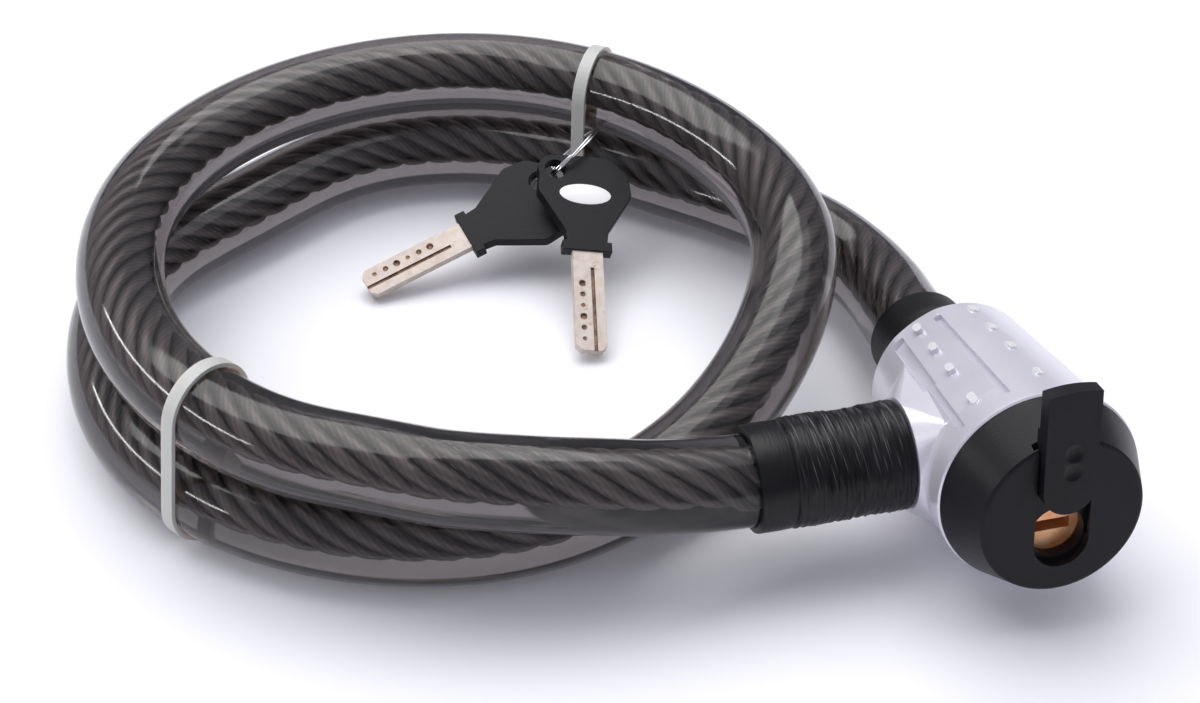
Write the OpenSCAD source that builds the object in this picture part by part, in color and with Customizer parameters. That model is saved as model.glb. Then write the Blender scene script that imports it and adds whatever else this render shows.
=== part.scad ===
// Coiled cable lock: a steel rope in a clear sheath runs from the rear of a cast lock barrel through two turns
// and back into a socket in the barrel's side, where a bolt holds its plug. A shutter covers the key cylinder.
// Origin: centre of the coil, on the surface it lies on. +X runs along the plug, +Z is up.

/* [Cable] */
// Outside diameter of the clear sheath
cable_d = 22; // [20:0.25:22.5]
// Diameter of the steel rope
rope_d = 11.2; // [9:0.2:12]
// Gap between the rope and the bore of the sheath
rope_gap = 0.35; // [0.25:0.05:0.6]

/* [Coil] */
// Mean radius of the upper turn
upper_turn_r = 85; // [84:0.5:90]
// Mean radius of the lower turn
lower_turn_r = 84; // [82:0.5:88]
// Least gap left between the two layers
layer_gap = 0.8; // [0.6:0.1:3]
// How far the lower turn is drawn in at the back left
lower_dent = 6.3; // [0:0.1:9]
// How far the climb swings out on the right
climb_swing = 3; // [0:0.5:5]

/* [Ties] */
// Thickness of a tie's strap
tie_t = 1.1; // [0.8:0.1:1.5]
// Width of a tie's strap
tie_w = 3.6; // [2.5:0.1:5]
// Gap between a tie and the cable
tie_gap = 0.2; // [0.15:0.05:0.3]
// Side of the square head of a tie
tie_head = 6; // [5:0.5:7]

/* [Barrel] */
// Diameter of the barrel at its front rim
barrel_front_d = 48.6; // [47:0.2:52]
// Diameter of the barrel at its rear rim
barrel_rear_d = 41.6; // [41:0.2:46]
// Distance from the plug's axis to the front rim
barrel_fore = 23; // [22:0.5:26]
// Distance from the plug's axis to the rear rim
barrel_aft = 30; // [28:0.5:36]
// How far the front of the barrel is tipped up where it lies
barrel_pitch = 9.4; // [6:0.1:11]
// Width of the two grooves along the barrel
groove_w = 2; // [1:0.1:2.5]
// Depth of the two grooves
groove_depth = 1.3; // [0.5:0.1:1.4]
// Distance from the barrel's axis to the face of the socket boss
boss_reach = 24.8; // [24.5:0.1:26]
// Diameter of the round face of the socket boss
boss_d = 27; // [25:0.5:30]

/* [End cap] */
// Length of the tapered cap
cap_len = 13; // [12:0.5:15]
// Diameter of the cap where it meets the barrel
cap_rim_d = 47.8; // [46:0.2:48.4]
// Diameter of the cap's flat face
cap_face_d = 37.8; // [36:0.2:42]
// Wall of the cap
cap_wall = 2.4; // [1.8:0.1:3]
// Width of the slot that the shutter slides in
slot_w = 13.1; // [12:0.1:14]
// Depth of the slot below the cap's face
slot_depth = 2.5; // [2:0.1:3]
// Depth of the keyhole's round well below the slot
well_depth = 2.9; // [2:0.1:3]

/* [Shutter] */
// Length of the shutter
shutter_len = 31; // [29:0.5:34]
// Thickness of the shutter
shutter_t = 4.9; // [4:0.1:6]
// Travel of the shutter from open to closed
shutter_travel = 14.5; // [12:0.5:15]
// Sliding clearance of the shutter in its slot
shutter_gap = 0.3; // [0.2:0.05:0.4]
// Width of the guide tongue on each side of the shutter
tongue_w = 1; // [0.8:0.1:1.2]
// Thickness of the guide tongues
tongue_t = 1.1; // [0.8:0.1:1.2]

/* [Key cylinder] */
// Diameter of the cylinder body
cylinder_d = 18; // [17:0.2:19]
// Distance of the cylinder's axis below the barrel's axis
cylinder_drop = 5.5; // [5:0.1:6]
// Diameter of the turning core
core_d = 12; // [11.4:0.1:12.4]
// Radial running clearance of the core
core_gap = 0.05; // [0.03:0.01:0.08]
// Width of the keyway
keyway_w = 8.8; // [8.6:0.1:9.2]
// Height of the keyway
keyway_h = 2.8; // [2.6:0.1:3.1]
// Radius at which the drive pin stands on the core
throw_r = 4; // [3.6:0.1:4.2]
// Diameter of the drive pin
drive_pin_d = 3; // [2.6:0.1:3.2]
// Diameter of a driver pin
driver_d = 2.4; // [2:0.1:2.6]
// Distance between the driver pins
driver_pitch = 3.4; // [3:0.1:3.6]

/* [Bolt] */
// Thickness of the bolt's plate and tongue
bolt_t = 2.5; // [2:0.1:2.8]
// Width of the bolt's fork along the plug
fork_w = 3.4; // [3:0.1:3.6]
// Clearance of the bolt in the barrel
bolt_gap = 0.25; // [0.2:0.05:0.4]
// Clearance of the drive pin in the bolt's slot
slot_gap = 0.25; // [0.2:0.05:0.35]

/* [Plug] */
// Diameter of the plug
plug_d = 12; // [11.6:0.1:12.4]
// Length of the plug inside the barrel
plug_depth = 16; // [15.5:0.1:17]
// Diameter of the plug's locking neck
neck_d = 6.4; // [6:0.1:6.8]
// Radial running clearance of the plug in its bush
plug_gap = 0.08; // [0.05:0.01:0.1]
// Outside diameter of the socket bush
bush_d = 16; // [15:0.2:17]
// Outside diameter of the crimped ferrules
ferrule_d = 18; // [17:0.2:18.6]
// Wall of the sleeve's ribbed part over the ferrule
sleeve_wall = 4.2; // [3.5:0.1:4.3]
// Length of the sleeve
sleeve_len = 36.7; // [34:0.1:38]
// Length of the sleeve's smooth collar
collar_len = 8; // [6:0.5:10]
// Outside diameter of the sleeve's smooth collar
collar_d = 25.6; // [25:0.1:26]
// Distance between the sleeve's ribs
rib_pitch = 1.8; // [1.4:0.1:2.4]
// Height of the sleeve's ribs
rib_h = 0.6; // [0.3:0.1:0.8]

/* [Boot] */
// Length of the rear boot
boot_len = 23; // [20:1:30]
// Diameter of the boot against the barrel
boot_d = 34; // [30:0.5:37]
// Diameter of the boot at its thin end
boot_end_d = 24.6; // [24:0.1:26]

/* [Keys] */
// Length of a key's bow
bow_len = 30.5; // [30:0.5:34]
// Width of a key's bow
bow_w = 26; // [24:0.5:27]
// Thickness of a key's bow
bow_t = 3.4; // [3:0.1:3.6]
// Length of a key's blade
blade_len = 30.5; // [27:0.5:31]
// Width of a key's blade
blade_w = 8.4; // [8:0.1:8.5]
// Thickness of a key's blade
blade_t = 2.3; // [2:0.1:2.5]
// Diameter of a key's eyelet
eyelet_d = 5.8; // [5:0.1:6]
// Distance of the eyelet's centre below the top of the bow
eyelet_down = 5; // [4.8:0.1:5.5]
// Mean diameter of the split ring
ring_d = 21.8; // [21:0.1:22.4]
// Diameter of the split ring's wire
ring_wire = 1.5; // [1.2:0.1:1.6]

/* [Hidden] */
$fn = 64;
eps = 0.01;

silver = [0.78, 0.77, 0.83];
black = [0.09, 0.09, 0.1];
brass = [0.78, 0.55, 0.34];
steel = [0.66, 0.66, 0.68];
sheath_grey = [0.3, 0.28, 0.3];
nylon = [0.86, 0.86, 0.84];
nickel = [0.86, 0.82, 0.74];

// ---- barrel frame: X along the plug, Y up, Z out of the front ----
rim_z = barrel_fore;
rear_z = -barrel_aft;
face_z = rim_z + cap_len;
front_r = barrel_front_d / 2;
spigot_r = front_r - 3.2;
spigot_gap = 0.4;
rear_r = barrel_rear_d / 2;
barrel_taper = atan((front_r - rear_r) / (barrel_fore + barrel_aft));
head_pos = [111.6, -96.4, rear_r * cos(barrel_pitch) + barrel_aft * sin(barrel_pitch) + 0.05];
function barrel_r(z) = rear_r + (z - rear_z) * tan(barrel_taper);
function to_row(p) = head_pos
    + [p[0],
       -p[2] * cos(barrel_pitch) + p[1] * sin(barrel_pitch),
       p[2] * sin(barrel_pitch) + p[1] * cos(barrel_pitch)];
module in_barrel() {
    translate(head_pos) rotate([90 - barrel_pitch, 0, 0]) children();
}

// ---- cylinder, bolt and plug places ----
cyl_y = -cylinder_drop;
slot_floor_z = face_z - slot_depth;
cyl_front_z = slot_floor_z - well_depth - 0.2;
well_d = 12.8;
function driver_z(i) = cyl_back_z + driver_d / 2 + 0.4 + i * driver_pitch;
plate_back_z = plug_d / 2 + 1.3;
plate_front_z = plate_back_z + bolt_t;
core_back_z = plate_front_z + 0.4;
clip_t = 1;
clip_z = core_back_z + 0.5;
cyl_back_z = clip_z + clip_t + 0.3;
bolt_travel = 2 * throw_r * sin(45);
pin_x = throw_r * cos(45);
pin_y = cyl_y + throw_r * sin(45);
tip_x = -boss_reach + plug_depth;
neck_len = fork_w + 0.6;
neck_x = tip_x - 2.2 - neck_len;
fork_x = neck_x + (neck_len - fork_w) / 2;
leg_y = plug_d / 2 + 0.3;
fork_in = neck_d / 2 + 0.3;
fork_out = plug_d / 2 + 0.4;
notch_y = leg_y + bolt_travel - (leg_y - fork_in) + 0.4;
fork_top = notch_y + 3;
flange_x = -boss_reach - 0.5;
flange_t = 2.7;
tail_d = 7;
tail_len = 9;
ferrule_len = 24;
rope_bore_d = rope_d + 0.6;
sleeve_x = -boss_reach - 0.4;
mouth_x = sleeve_x - sleeve_len;
sheath_in = 4.6;
pin_d = 3;
anchor_z = rear_z + 10;
anchor_x = ferrule_d / 2 - 0.4;
hold_pin_d = 2.4;
hold_z = rim_z - 5;
hold_x = cylinder_d / 2 + 0.6;
sheath_start_z = rear_z - 6;

// ---- shutter places, open: its lower end uncovers the cylinder ----
shutter_w = slot_w - 2 * shutter_gap;
slot_bottom_y = cyl_y - well_d / 2 - 1.2;
shutter_low_y = slot_bottom_y + 0.9 + shutter_travel;
shutter_back_z = slot_floor_z + 0.2;
cap_face_r = cap_face_d / 2;
tongue_top_y = sqrt(pow(cap_face_r - 0.4, 2) - pow(slot_w / 2 + tongue_w, 2)) - 0.6;
tongue_low_y = shutter_low_y + shutter_w / 2;

// ---- cable route ----
low_z = cable_d / 2 + tie_t + tie_gap - 0.3;
high_z = low_z + cable_d + layer_gap;
low_centre = [-3, -2];
coil_from = 60;
coil_to = 600;
climb_from = 292;
climb_to = 350;
function smooth(x) = let (c = min(max(x, 0), 1)) c * c * (3 - 2 * c);
// Where the turns swing in or out: angle, spread in degrees, outward distance
swings = [[123, 21, -lower_dent], [156, 20, 2], [200, 30, 2.5], [294, 16, -2], [340, 28, climb_swing], [388, 30, -1.5],
    [540, 30, -1.6], [600, 26, 2.2]];
function bell(t, at, width) = exp(-pow((t - at) / width, 2));
function coil_pt(t) =
    let (s = smooth((t - climb_from) / (climb_to - climb_from)))
    let (r = lower_turn_r + (upper_turn_r - lower_turn_r) * s + sum([for (w = swings) w[2] * bell(t, w[0], w[1])]))
    [low_centre[0] * (1 - s) + r * cos(t),
     low_centre[1] * (1 - s) + r * sin(t),
     low_z + (high_z - low_z) * s];
function unit(v) = v / norm(v);
coil_in_dir = unit(coil_pt(coil_from + 0.1) - coil_pt(coil_from));
coil_out_dir = unit(coil_pt(coil_to) - coil_pt(coil_to - 0.1));
coil_in = coil_pt(coil_from) - cable_d * coil_in_dir;
coil_out = coil_pt(coil_to) + cable_d * coil_out_dir;
coil_turns = [for (t = [coil_from : (coil_to - coil_from) / 44 : coil_to + eps]) coil_pt(t)];
coil_path = concat([coil_in], coil_turns, [coil_out]);
barrel_dir = unit(to_row([0, 0, -1]) - to_row([0, 0, 0]));
// Points of the rear stretch between the boot and the coil
rear_mid = [[112, -20, 13.2], [110, -6, 12.2], [105, 8, 12], [96.5, 21.5, 12], [85, 35, 12], [72, 47.5, 12]];
// Points of the front stretch between the coil and the sleeve
front_mid = [[-2, -93.9, 33.3], [14, -96.4, 31.2], [28, -97.3, 28.6], [40, -97, 26.7]];
rear_path = smooth_line(concat([to_row([0, 0, sheath_start_z]), to_row([0, 0, sheath_start_z - 14]),
    to_row([0, 0, sheath_start_z - 28])], rear_mid, [coil_in]), barrel_dir, coil_in_dir, 3);
sheath_end_x = mouth_x + sheath_in;
front_path = smooth_line(concat([coil_out], front_mid, [to_row([mouth_x, 0, 0]), to_row([sheath_end_x, 0, 0])]),
    coil_out_dir, [1, 0, 0], 4);

function hermite(a, b, da, db, t) =
    a * (2 * t * t * t - 3 * t * t + 1) + da * (t * t * t - 2 * t * t + t)
    + b * (3 * t * t - 2 * t * t * t) + db * (t * t * t - t * t);
// A smooth line through points p that starts and ends in the directions given
function smooth_line(p, from, to, n) =
    let (last = len(p) - 1)
    let (leg = [for (i = [0 : last - 1]) norm(p[i + 1] - p[i])])
    let (d = [for (i = [0 : last])
        i == 0 ? from
        : i == last ? to
        : unit((p[i + 1] - p[i]) / leg[i] * leg[i - 1] + (p[i] - p[i - 1]) / leg[i - 1] * leg[i])])
    concat([for (i = [0 : last - 1]) for (k = [0 : n - 1])
        hermite(p[i], p[i + 1], d[i] * leg[i], d[i + 1] * leg[i], k / n)], [p[last]]);

// Directions along a path, with the two ends given
function headings(p, from, to) =
    [for (i = [0 : len(p) - 1]) i == 0 ? from : i == len(p) - 1 ? to : unit(p[i + 1] - p[i - 1])];

// A round tube along path p; bore 0 makes it solid
module tube_along(p, from, to, d, bore, sides = 12) {
    h = headings(p, from, to);
    n = len(p);
    function ring(i, r) =
        let (side = unit(cross(h[i], [0, 0, 1])))
        let (up = cross(side, h[i]))
        [for (k = [0 : sides - 1])
            let (a = 360 * (k + 0.5) / sides)
            p[i] + r * (cos(a) * side + sin(a) * up)];
    outer = [for (i = [0 : n - 1]) each ring(i, d / 2)];
    inner = bore > 0 ? [for (i = [0 : n - 1]) each ring(i, bore / 2)] : [p[0], p[n - 1]];
    m = n * sides;
    function at(i, k) = i * sides + k % sides;
    walls = [for (i = [0 : n - 2]) for (k = [0 : sides - 1]) each
        [[at(i, k), at(i + 1, k), at(i, k + 1)], [at(i, k + 1), at(i + 1, k), at(i + 1, k + 1)]]];
    bore_walls = bore > 0 ? [for (f = walls) [m + f[0], m + f[2], m + f[1]]] : [];
    ends = bore > 0
        ? [for (k = [0 : sides - 1]) each
            [[at(0, k), at(0, k + 1), m + at(0, k + 1)], [at(0, k), m + at(0, k + 1), m + at(0, k)],
             [at(n - 1, k), m + at(n - 1, k), m + at(n - 1, k + 1)],
             [at(n - 1, k), m + at(n - 1, k + 1), at(n - 1, k + 1)]]]
        : [for (k = [0 : sides - 1]) each
            [[at(0, k), at(0, k + 1), m], [at(n - 1, k), m + 1, at(n - 1, k + 1)]]];
    polyhedron(concat(outer, inner), concat(walls, bore_walls, ends));
}

// Least distance between parts of the cable that lie more than half a turn apart, less one diameter
whole_path = concat(rear_path, coil_turns, front_path);
self_gap = min([for (i = [0 : len(whole_path) - 1]) for (j = [i + 12 : 1 : len(whole_path) - 1])
    norm(whole_path[i] - whole_path[j])]) - cable_d;
function run(p) = len(p) < 2 ? 0 : sum([for (i = [0 : len(p) - 2]) norm(p[i + 1] - p[i])]);
function sum(v, i = 0) = i < len(v) ? v[i] + sum(v, i + 1) : 0;
echo(cable_gap_to_itself_mm = self_gap, cable_length_mm = run(rear_path) + run(coil_path) + run(front_path));

// ---- barrel ----
module along_plug() {
    // turns a profile's Z so that it points out of the socket, away from the barrel
    rotate([0, -90, 0]) children();
}

module groove(angle, from_z, to_z, w) {
    mid = (from_z + to_z) / 2;
    rotate([0, 0, angle]) translate([0, barrel_r(mid), mid]) rotate([-barrel_taper, 0, 0])
        cube([w, 2 * groove_depth, to_z - from_z], center = true);
}

module grip_dot(angle, z, long, tall = 0.5) {
    rotate([0, 0, angle]) translate([0, barrel_r(z) - 1.2, z]) rotate([-90 - barrel_taper, 0, 0])
        linear_extrude(1.2 + tall) union() {
            translate([0, long / 2 - 1]) circle(1);
            translate([0, 1 - long / 2]) circle(1);
            translate([-1, 1 - long / 2]) square([2, long - 2]);
        }
}

module panel_cut(angle, span) {
    // shaves the cone flat between two grooves
    depth = front_r * (1 - cos(span / 2));
    rotate([0, 0, angle]) translate([0, barrel_r(0) - depth, 0]) rotate([-barrel_taper, 0, 0])
        translate([-15, 0, rear_z - 5]) cube([30, 5, barrel_aft + barrel_fore - 4]);
}

module housing() {
    color(silver) in_barrel() difference() {
        union() {
            difference() {
                rotate_extrude($fn = 128) polygon([[0, rear_z], [rear_r - 0.8, rear_z], [rear_r, rear_z + 0.8],
                    [front_r - 0.1, rim_z - 2], [front_r, rim_z - 1.4], [front_r, rim_z - 0.4],
                    [front_r - 0.4, rim_z], [spigot_r, rim_z], [spigot_r, rim_z + 1.4], [0, rim_z + 1.4]]);
                panel_cut(31.5, 29);
            }
            hull() {
                translate([-boss_reach, 0, 0]) rotate([0, 90, 0]) cylinder(d = boss_d, h = 1, $fn = 32);
                translate([-17, -14.5, -17]) cube([2, 29, 31]);
            }
            for (z = [-25, -14, -2.5]) grip_dot(31.5, z, 3.4);
            grip_dot(32.5, 13, 4.6, 0.35);
            for (z = [-25, -14, -3, 12]) grip_dot(-8, z, 3.4);
        }
        groove(47, rear_z + 3, rim_z - 4, groove_w);
        groove(48, rear_z + 3, -2, groove_w * 1.7);
        groove(16.5, rear_z + 4, rim_z - 5, groove_w);
        // seat of the key cylinder
        translate([0, cyl_y, plate_front_z]) cylinder(d = cylinder_d + 0.2, h = rim_z + 2 - plate_front_z);
        // pocket of the bolt's plate and of its fork
        translate([fork_x - bolt_gap, cyl_y - 7.6, plate_back_z - bolt_gap])
            cube([8 - fork_x + bolt_gap, fork_top - cyl_y + 7.6 + bolt_gap, bolt_t + 2 * bolt_gap]);
        translate([fork_x - bolt_gap, 0.2, -fork_out - bolt_gap])
            cube([fork_w + 2 * bolt_gap, fork_top - 0.2 + bolt_gap, fork_out + plate_front_z + bolt_gap]);
        // socket: bush seat, then the blind bore of the plug's nose
        translate([0, 0, 0]) along_plug() {
            translate([0, 0, -neck_x + 0.6]) cylinder(d = bush_d + 0.04, h = boss_reach + neck_x);
            translate([0, 0, -tip_x - 0.4]) cylinder(d = plug_d + 0.3, h = boss_reach + tip_x);
        }
        // rear ferrule seat
        translate([0, 0, rear_z - 1]) cylinder(d = ferrule_d + 0.06, h = 18);
        // cross holes of the two pins, from below
        translate([anchor_x, 8.1, anchor_z]) rotate([90, 0, 0]) cylinder(d = pin_d + 0.02, h = 40);
        translate([hold_x, 2.1, hold_z]) rotate([90, 0, 0]) cylinder(d = hold_pin_d + 0.02, h = 40);
    }
}

module end_cap() {
    rim_r = cap_rim_d / 2;
    color(black) in_barrel() difference() {
        union() {
            difference() {
                rotate_extrude($fn = 128) polygon([[0, rim_z + 0.05], [rim_r, rim_z + 0.05], [rim_r, rim_z + 0.9],
                    [cap_face_r + 0.5, face_z - 0.6], [cap_face_r - 0.5, face_z], [0, face_z]]);
                rotate_extrude($fn = 96) polygon([[0, rim_z], [spigot_r + spigot_gap, rim_z],
                    [spigot_r + spigot_gap, rim_z + 1.6], [cap_face_r - cap_wall, slot_floor_z - 2], [0, slot_floor_z - 2]]);
            }
            translate([0, cyl_y, rim_z + 3.5]) cylinder(d = cylinder_d + 5, h = slot_floor_z - rim_z - 4.5);
        }
        // seat of the cylinder, then the round well in front of the keyhole
        translate([0, cyl_y, rim_z - 1]) cylinder(d = cylinder_d + 0.2, h = cyl_front_z + 1.1 - rim_z);
        translate([0, cyl_y, rim_z]) cylinder(d = well_d, h = cap_len);
        // slot, open at the top
        translate([0, 0, slot_floor_z]) linear_extrude(slot_depth + 1) union() {
            translate([0, slot_bottom_y + slot_w / 2]) circle(d = slot_w);
            translate([-slot_w / 2, slot_bottom_y + slot_w / 2]) square([slot_w, 40]);
        }
        // undercut that holds the shutter's tongues
        translate([-slot_w / 2 - tongue_w, tongue_low_y - shutter_travel - 0.6, slot_floor_z])
            cube([slot_w + 2 * tongue_w, 60, tongue_t + 0.5]);
        translate([-shutter_spring_w / 2 - 0.2, spring_y - 0.2, slot_floor_z - spring_t - 0.1])
            cube([shutter_spring_w + 0.4, spring_len + 0.4, 1]);
    }
}

shutter_spring_w = 6;
spring_t = 0.5;
spring_len = 7.5;
spring_y = cyl_y + cylinder_d / 2 + 0.6;

module shutter() {
    w = shutter_w;
    top_y = shutter_low_y + shutter_len;
    color(black) in_barrel() difference() {
        union() {
            translate([0, 0, shutter_back_z]) linear_extrude(shutter_t) intersection() {
                union() {
                    translate([0, shutter_low_y + w / 2]) circle(d = w);
                    translate([-w / 2, shutter_low_y + w / 2]) square([w, shutter_len - w / 2]);
                }
                translate([0, top_y - 30]) circle(r = 30, $fn = 128);
            }
            translate([-w / 2 - tongue_w, tongue_low_y, shutter_back_z])
                cube([w + 2 * tongue_w, tongue_top_y - tongue_low_y, tongue_t]);
        }
        // thumb hollows
        for (y = [0.34, 0.5])
            translate([0.5, shutter_low_y + shutter_len * y, shutter_back_z + shutter_t + 4.4]) sphere(r = 5, $fn = 48);
        // finger step behind the overhanging top
        translate([-w, cap_face_r + 4, shutter_back_z - 1]) cube([2 * w, 30, 2]);
    }
}

module shutter_spring() {
    color(steel) in_barrel() translate([-shutter_spring_w / 2, spring_y, slot_floor_z - spring_t])
        difference() {
            cube([shutter_spring_w, spring_len, spring_t]);
            translate([1.5, 1.5, -1]) cube([shutter_spring_w - 3, 1.6, 3]);
        }
}

// ---- key cylinder ----
module cylinder_body() {
    color(brass) in_barrel() translate([0, cyl_y, 0]) difference() {
        union() {
            translate([0, 0, cyl_back_z]) cylinder(d = cylinder_d, h = cyl_front_z - cyl_back_z);
            translate([0, 0, rim_z + 1.45]) cylinder(d = cylinder_d + 3.6, h = 1.9);
        }
        translate([0, 0, cyl_back_z - 1]) cylinder(r = core_d / 2 + core_gap, h = 40);
        for (i = [0 : 4]) translate([0, 0, driver_z(i)]) rotate([-90, 0, 0])
            cylinder(d = driver_d + 0.1, h = cylinder_d / 2 - 0.1);
        translate([hold_x, 10, hold_z]) rotate([90, 0, 0]) cylinder(d = hold_pin_d + 0.1, h = 30);
    }
}

module key_core() {
    color(brass) in_barrel() translate([0, cyl_y, 0]) difference() {
        union() {
            translate([0, 0, core_back_z]) cylinder(d = core_d, h = cyl_front_z - 0.2 - core_back_z);
            rotate([0, 0, 45]) translate([throw_r, 0, plate_back_z + 0.2])
                cylinder(d = drive_pin_d, h = core_back_z - plate_back_z);
        }
        translate([-keyway_w / 2, -keyway_h / 2, cyl_back_z + 1]) cube([keyway_w, keyway_h, 40]);
        translate([0, 0, clip_z - 0.05]) rotate_extrude() translate([core_d / 2 - 1, 0]) square([3, clip_t + 0.1]);
    }
}

module core_clip() {
    color(steel) in_barrel() translate([0, cyl_y, clip_z]) linear_extrude(clip_t) difference() {
        circle(d = core_d + 3);
        circle(d = core_d - 1.9);
        translate([-1.5, -core_d]) square([3, core_d]);
    }
}

module driver_pins() {
    color(steel) in_barrel() translate([0, cyl_y, 0]) for (i = [0 : 4])
        translate([0, core_d / 2 + 0.15, driver_z(i)]) rotate([-90, 0, 0])
            cylinder(d = driver_d, h = (cylinder_d - core_d) / 2 - 0.4);
}

module cylinder_pin() {
    color(steel) in_barrel() translate([hold_x, 2, hold_z]) rotate([90, 0, 0]) cylinder(d = hold_pin_d, h = 21);
}

// ---- bolt ----
module lock_bolt() {
    slot_r = drive_pin_d / 2 + slot_gap;
    color(steel) in_barrel() difference() {
        union() {
            translate([0, 0, plate_back_z]) linear_extrude(bolt_t) union() {
                translate([-1.6, pin_y - 3.6]) square([9.2, 7.2]);
                translate([fork_x, pin_y - 2]) square([-fork_x, 5.6]);
                translate([fork_x, pin_y - 2]) square([fork_w + 1.5, fork_top - pin_y + 2]);
            }
            translate([fork_x, leg_y, -fork_out]) cube([fork_w, fork_top - leg_y, fork_out + plate_front_z]);
        }
        translate([fork_x - 1, leg_y - 1, -fork_in]) cube([fork_w + 2, notch_y - leg_y + 1, 2 * fork_in]);
        translate([0, 0, plate_back_z - 1]) linear_extrude(bolt_t + 2) hull() {
            translate([pin_x - 0.2, pin_y]) circle(r = slot_r);
            translate([throw_r + 0.2, pin_y]) circle(r = slot_r);
        }
        // the fork behind the plate is open beside the plug
        translate([fork_x - 1, leg_y - 1, fork_out]) cube([fork_w + 2, 2.2, plate_back_z - fork_out]);
    }
}

// ---- socket, ferrules and boot ----
module socket_bush() {
    from = -neck_x + 0.7;
    color(steel) in_barrel() along_plug() difference() {
        translate([0, 0, from]) cylinder(d = bush_d, h = boss_reach - 0.2 - from);
        translate([0, 0, from - 1]) cylinder(r = plug_d / 2 + plug_gap, h = boss_reach);
    }
}

module rear_ferrule() {
    color(steel) in_barrel() difference() {
        translate([0, 0, rear_z - 4.5]) cylinder(d = ferrule_d, h = 21);
        translate([0, 0, rear_z - 5.5]) cylinder(d = rope_bore_d, h = 17);
        translate([0, 0, anchor_z - pin_d / 2 - 0.1]) rotate_extrude()
            translate([anchor_x - pin_d / 2 - 0.1, 0]) square([5, pin_d + 0.2]);
    }
}

module anchor_pin() {
    color(steel) in_barrel() translate([anchor_x, 8, anchor_z]) rotate([90, 0, 0]) cylinder(d = pin_d, h = 24.5);
}

module rear_boot() {
    r = boot_d / 2;
    e = boot_end_d / 2;
    color(black) in_barrel() translate([0, 0, rear_z]) rotate([180, 0, 0]) rotate_extrude($fn = 96) polygon([
        [ferrule_d / 2 + 0.1, 0], [r - 0.6, 0], [r, 0.6], [r - 0.3, 2.6], [r - 1.6, 5], [e + 2, 9], [e + 1, 13],
        [e + 0.5, boot_len - 3], [e + 0.4, boot_len - 0.8], [e - 0.4, boot_len],
        [cable_d / 2 + 0.1, boot_len], [cable_d / 2 + 0.1, 5], [ferrule_d / 2 + 0.1, 5]]);
}

// ---- cable ----
rope_rear_path = concat([to_row([0, 0, rear_z + 10.5]), to_row([0, 0, rear_z - 2])], rear_path);
rope_end_x = flange_x - flange_t - tail_len - 1.5;
rope_front_path = concat(front_path, [to_row([(sheath_end_x + rope_end_x) / 2, 0, 0]), to_row([rope_end_x, 0, 0])]);
sheath_bore = rope_d + 2 * rope_gap;

module rope_rear() {
    color(steel) tube_along(rope_rear_path, barrel_dir, coil_in_dir, rope_d, 0, 8);
}

module rope_coil() {
    color(steel) tube_along(coil_path, coil_in_dir, coil_out_dir, rope_d, 0, 8);
}

module rope_front() {
    color(steel) tube_along(rope_front_path, coil_out_dir, [1, 0, 0], rope_d, 0, 8);
}

module sheath_rear() {
    color(sheath_grey) tube_along(rear_path, barrel_dir, coil_in_dir, cable_d, sheath_bore / cos(22.5) + 0.1);
}

module sheath_coil() {
    color(sheath_grey) tube_along(coil_path, coil_in_dir, coil_out_dir, cable_d, sheath_bore / cos(22.5) + 0.1);
}

module sheath_front() {
    color(sheath_grey) tube_along(front_path, coil_out_dir, [1, 0, 0], cable_d, sheath_bore / cos(22.5) + 0.1);
}

// ---- plug ----
module plug_pin() {
    r = plug_d / 2;
    color(steel) in_barrel() along_plug() rotate_extrude() polygon([
        [0, -tip_x], [r - 1.2, -tip_x], [r, -tip_x + 1.2], [r, -neck_x - neck_len], [neck_d / 2, -neck_x - neck_len],
        [neck_d / 2, -neck_x], [r, -neck_x], [r, -flange_x], [ferrule_d / 2 - 0.4, -flange_x],
        [ferrule_d / 2 - 0.4, -flange_x + flange_t], [tail_d / 2, -flange_x + flange_t],
        [tail_d / 2, -flange_x + flange_t + tail_len], [0, -flange_x + flange_t + tail_len]]);
}

module plug_ferrule() {
    from = -flange_x + flange_t + 0.05;
    color(steel) in_barrel() along_plug() difference() {
        translate([0, 0, from]) cylinder(d = ferrule_d, h = ferrule_len);
        translate([0, 0, from - 1]) cylinder(d = tail_d + 0.1, h = 12);
        translate([0, 0, from + tail_len + 1]) cylinder(d = rope_bore_d, h = ferrule_len);
    }
}

module plug_sleeve() {
    from = -sleeve_x;
    to = -mouth_x;
    r = ferrule_d / 2 + sleeve_wall;
    ribs = floor((sleeve_len - collar_len - 2) / rib_pitch);
    ribs_from = to - collar_len - 0.8 - ribs * rib_pitch;
    step_at = -sheath_end_x - 0.2;
    color(black) in_barrel() along_plug() rotate_extrude($fn = 64) polygon(concat(
        [[ferrule_d / 2 + 0.1, from], [r - 0.5, from], [r, from + 0.4], [r, ribs_from]],
        [for (i = [0 : ribs - 1]) each [
            [r + 0.1, ribs_from + (i + 0.15) * rib_pitch], [r - rib_h, ribs_from + (i + 0.55) * rib_pitch],
            [r - rib_h, ribs_from + (i + 0.7) * rib_pitch], [r + 0.1, ribs_from + (i + 1) * rib_pitch]]],
        [[collar_d / 2 - 0.3, to - collar_len], [collar_d / 2, to - collar_len + 0.4], [collar_d / 2, to - 0.5],
         [collar_d / 2 - 0.5, to], [cable_d / 2 + 0.1, to], [cable_d / 2 + 0.1, step_at],
         [ferrule_d / 2 + 0.1, step_at]]));
}

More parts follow.
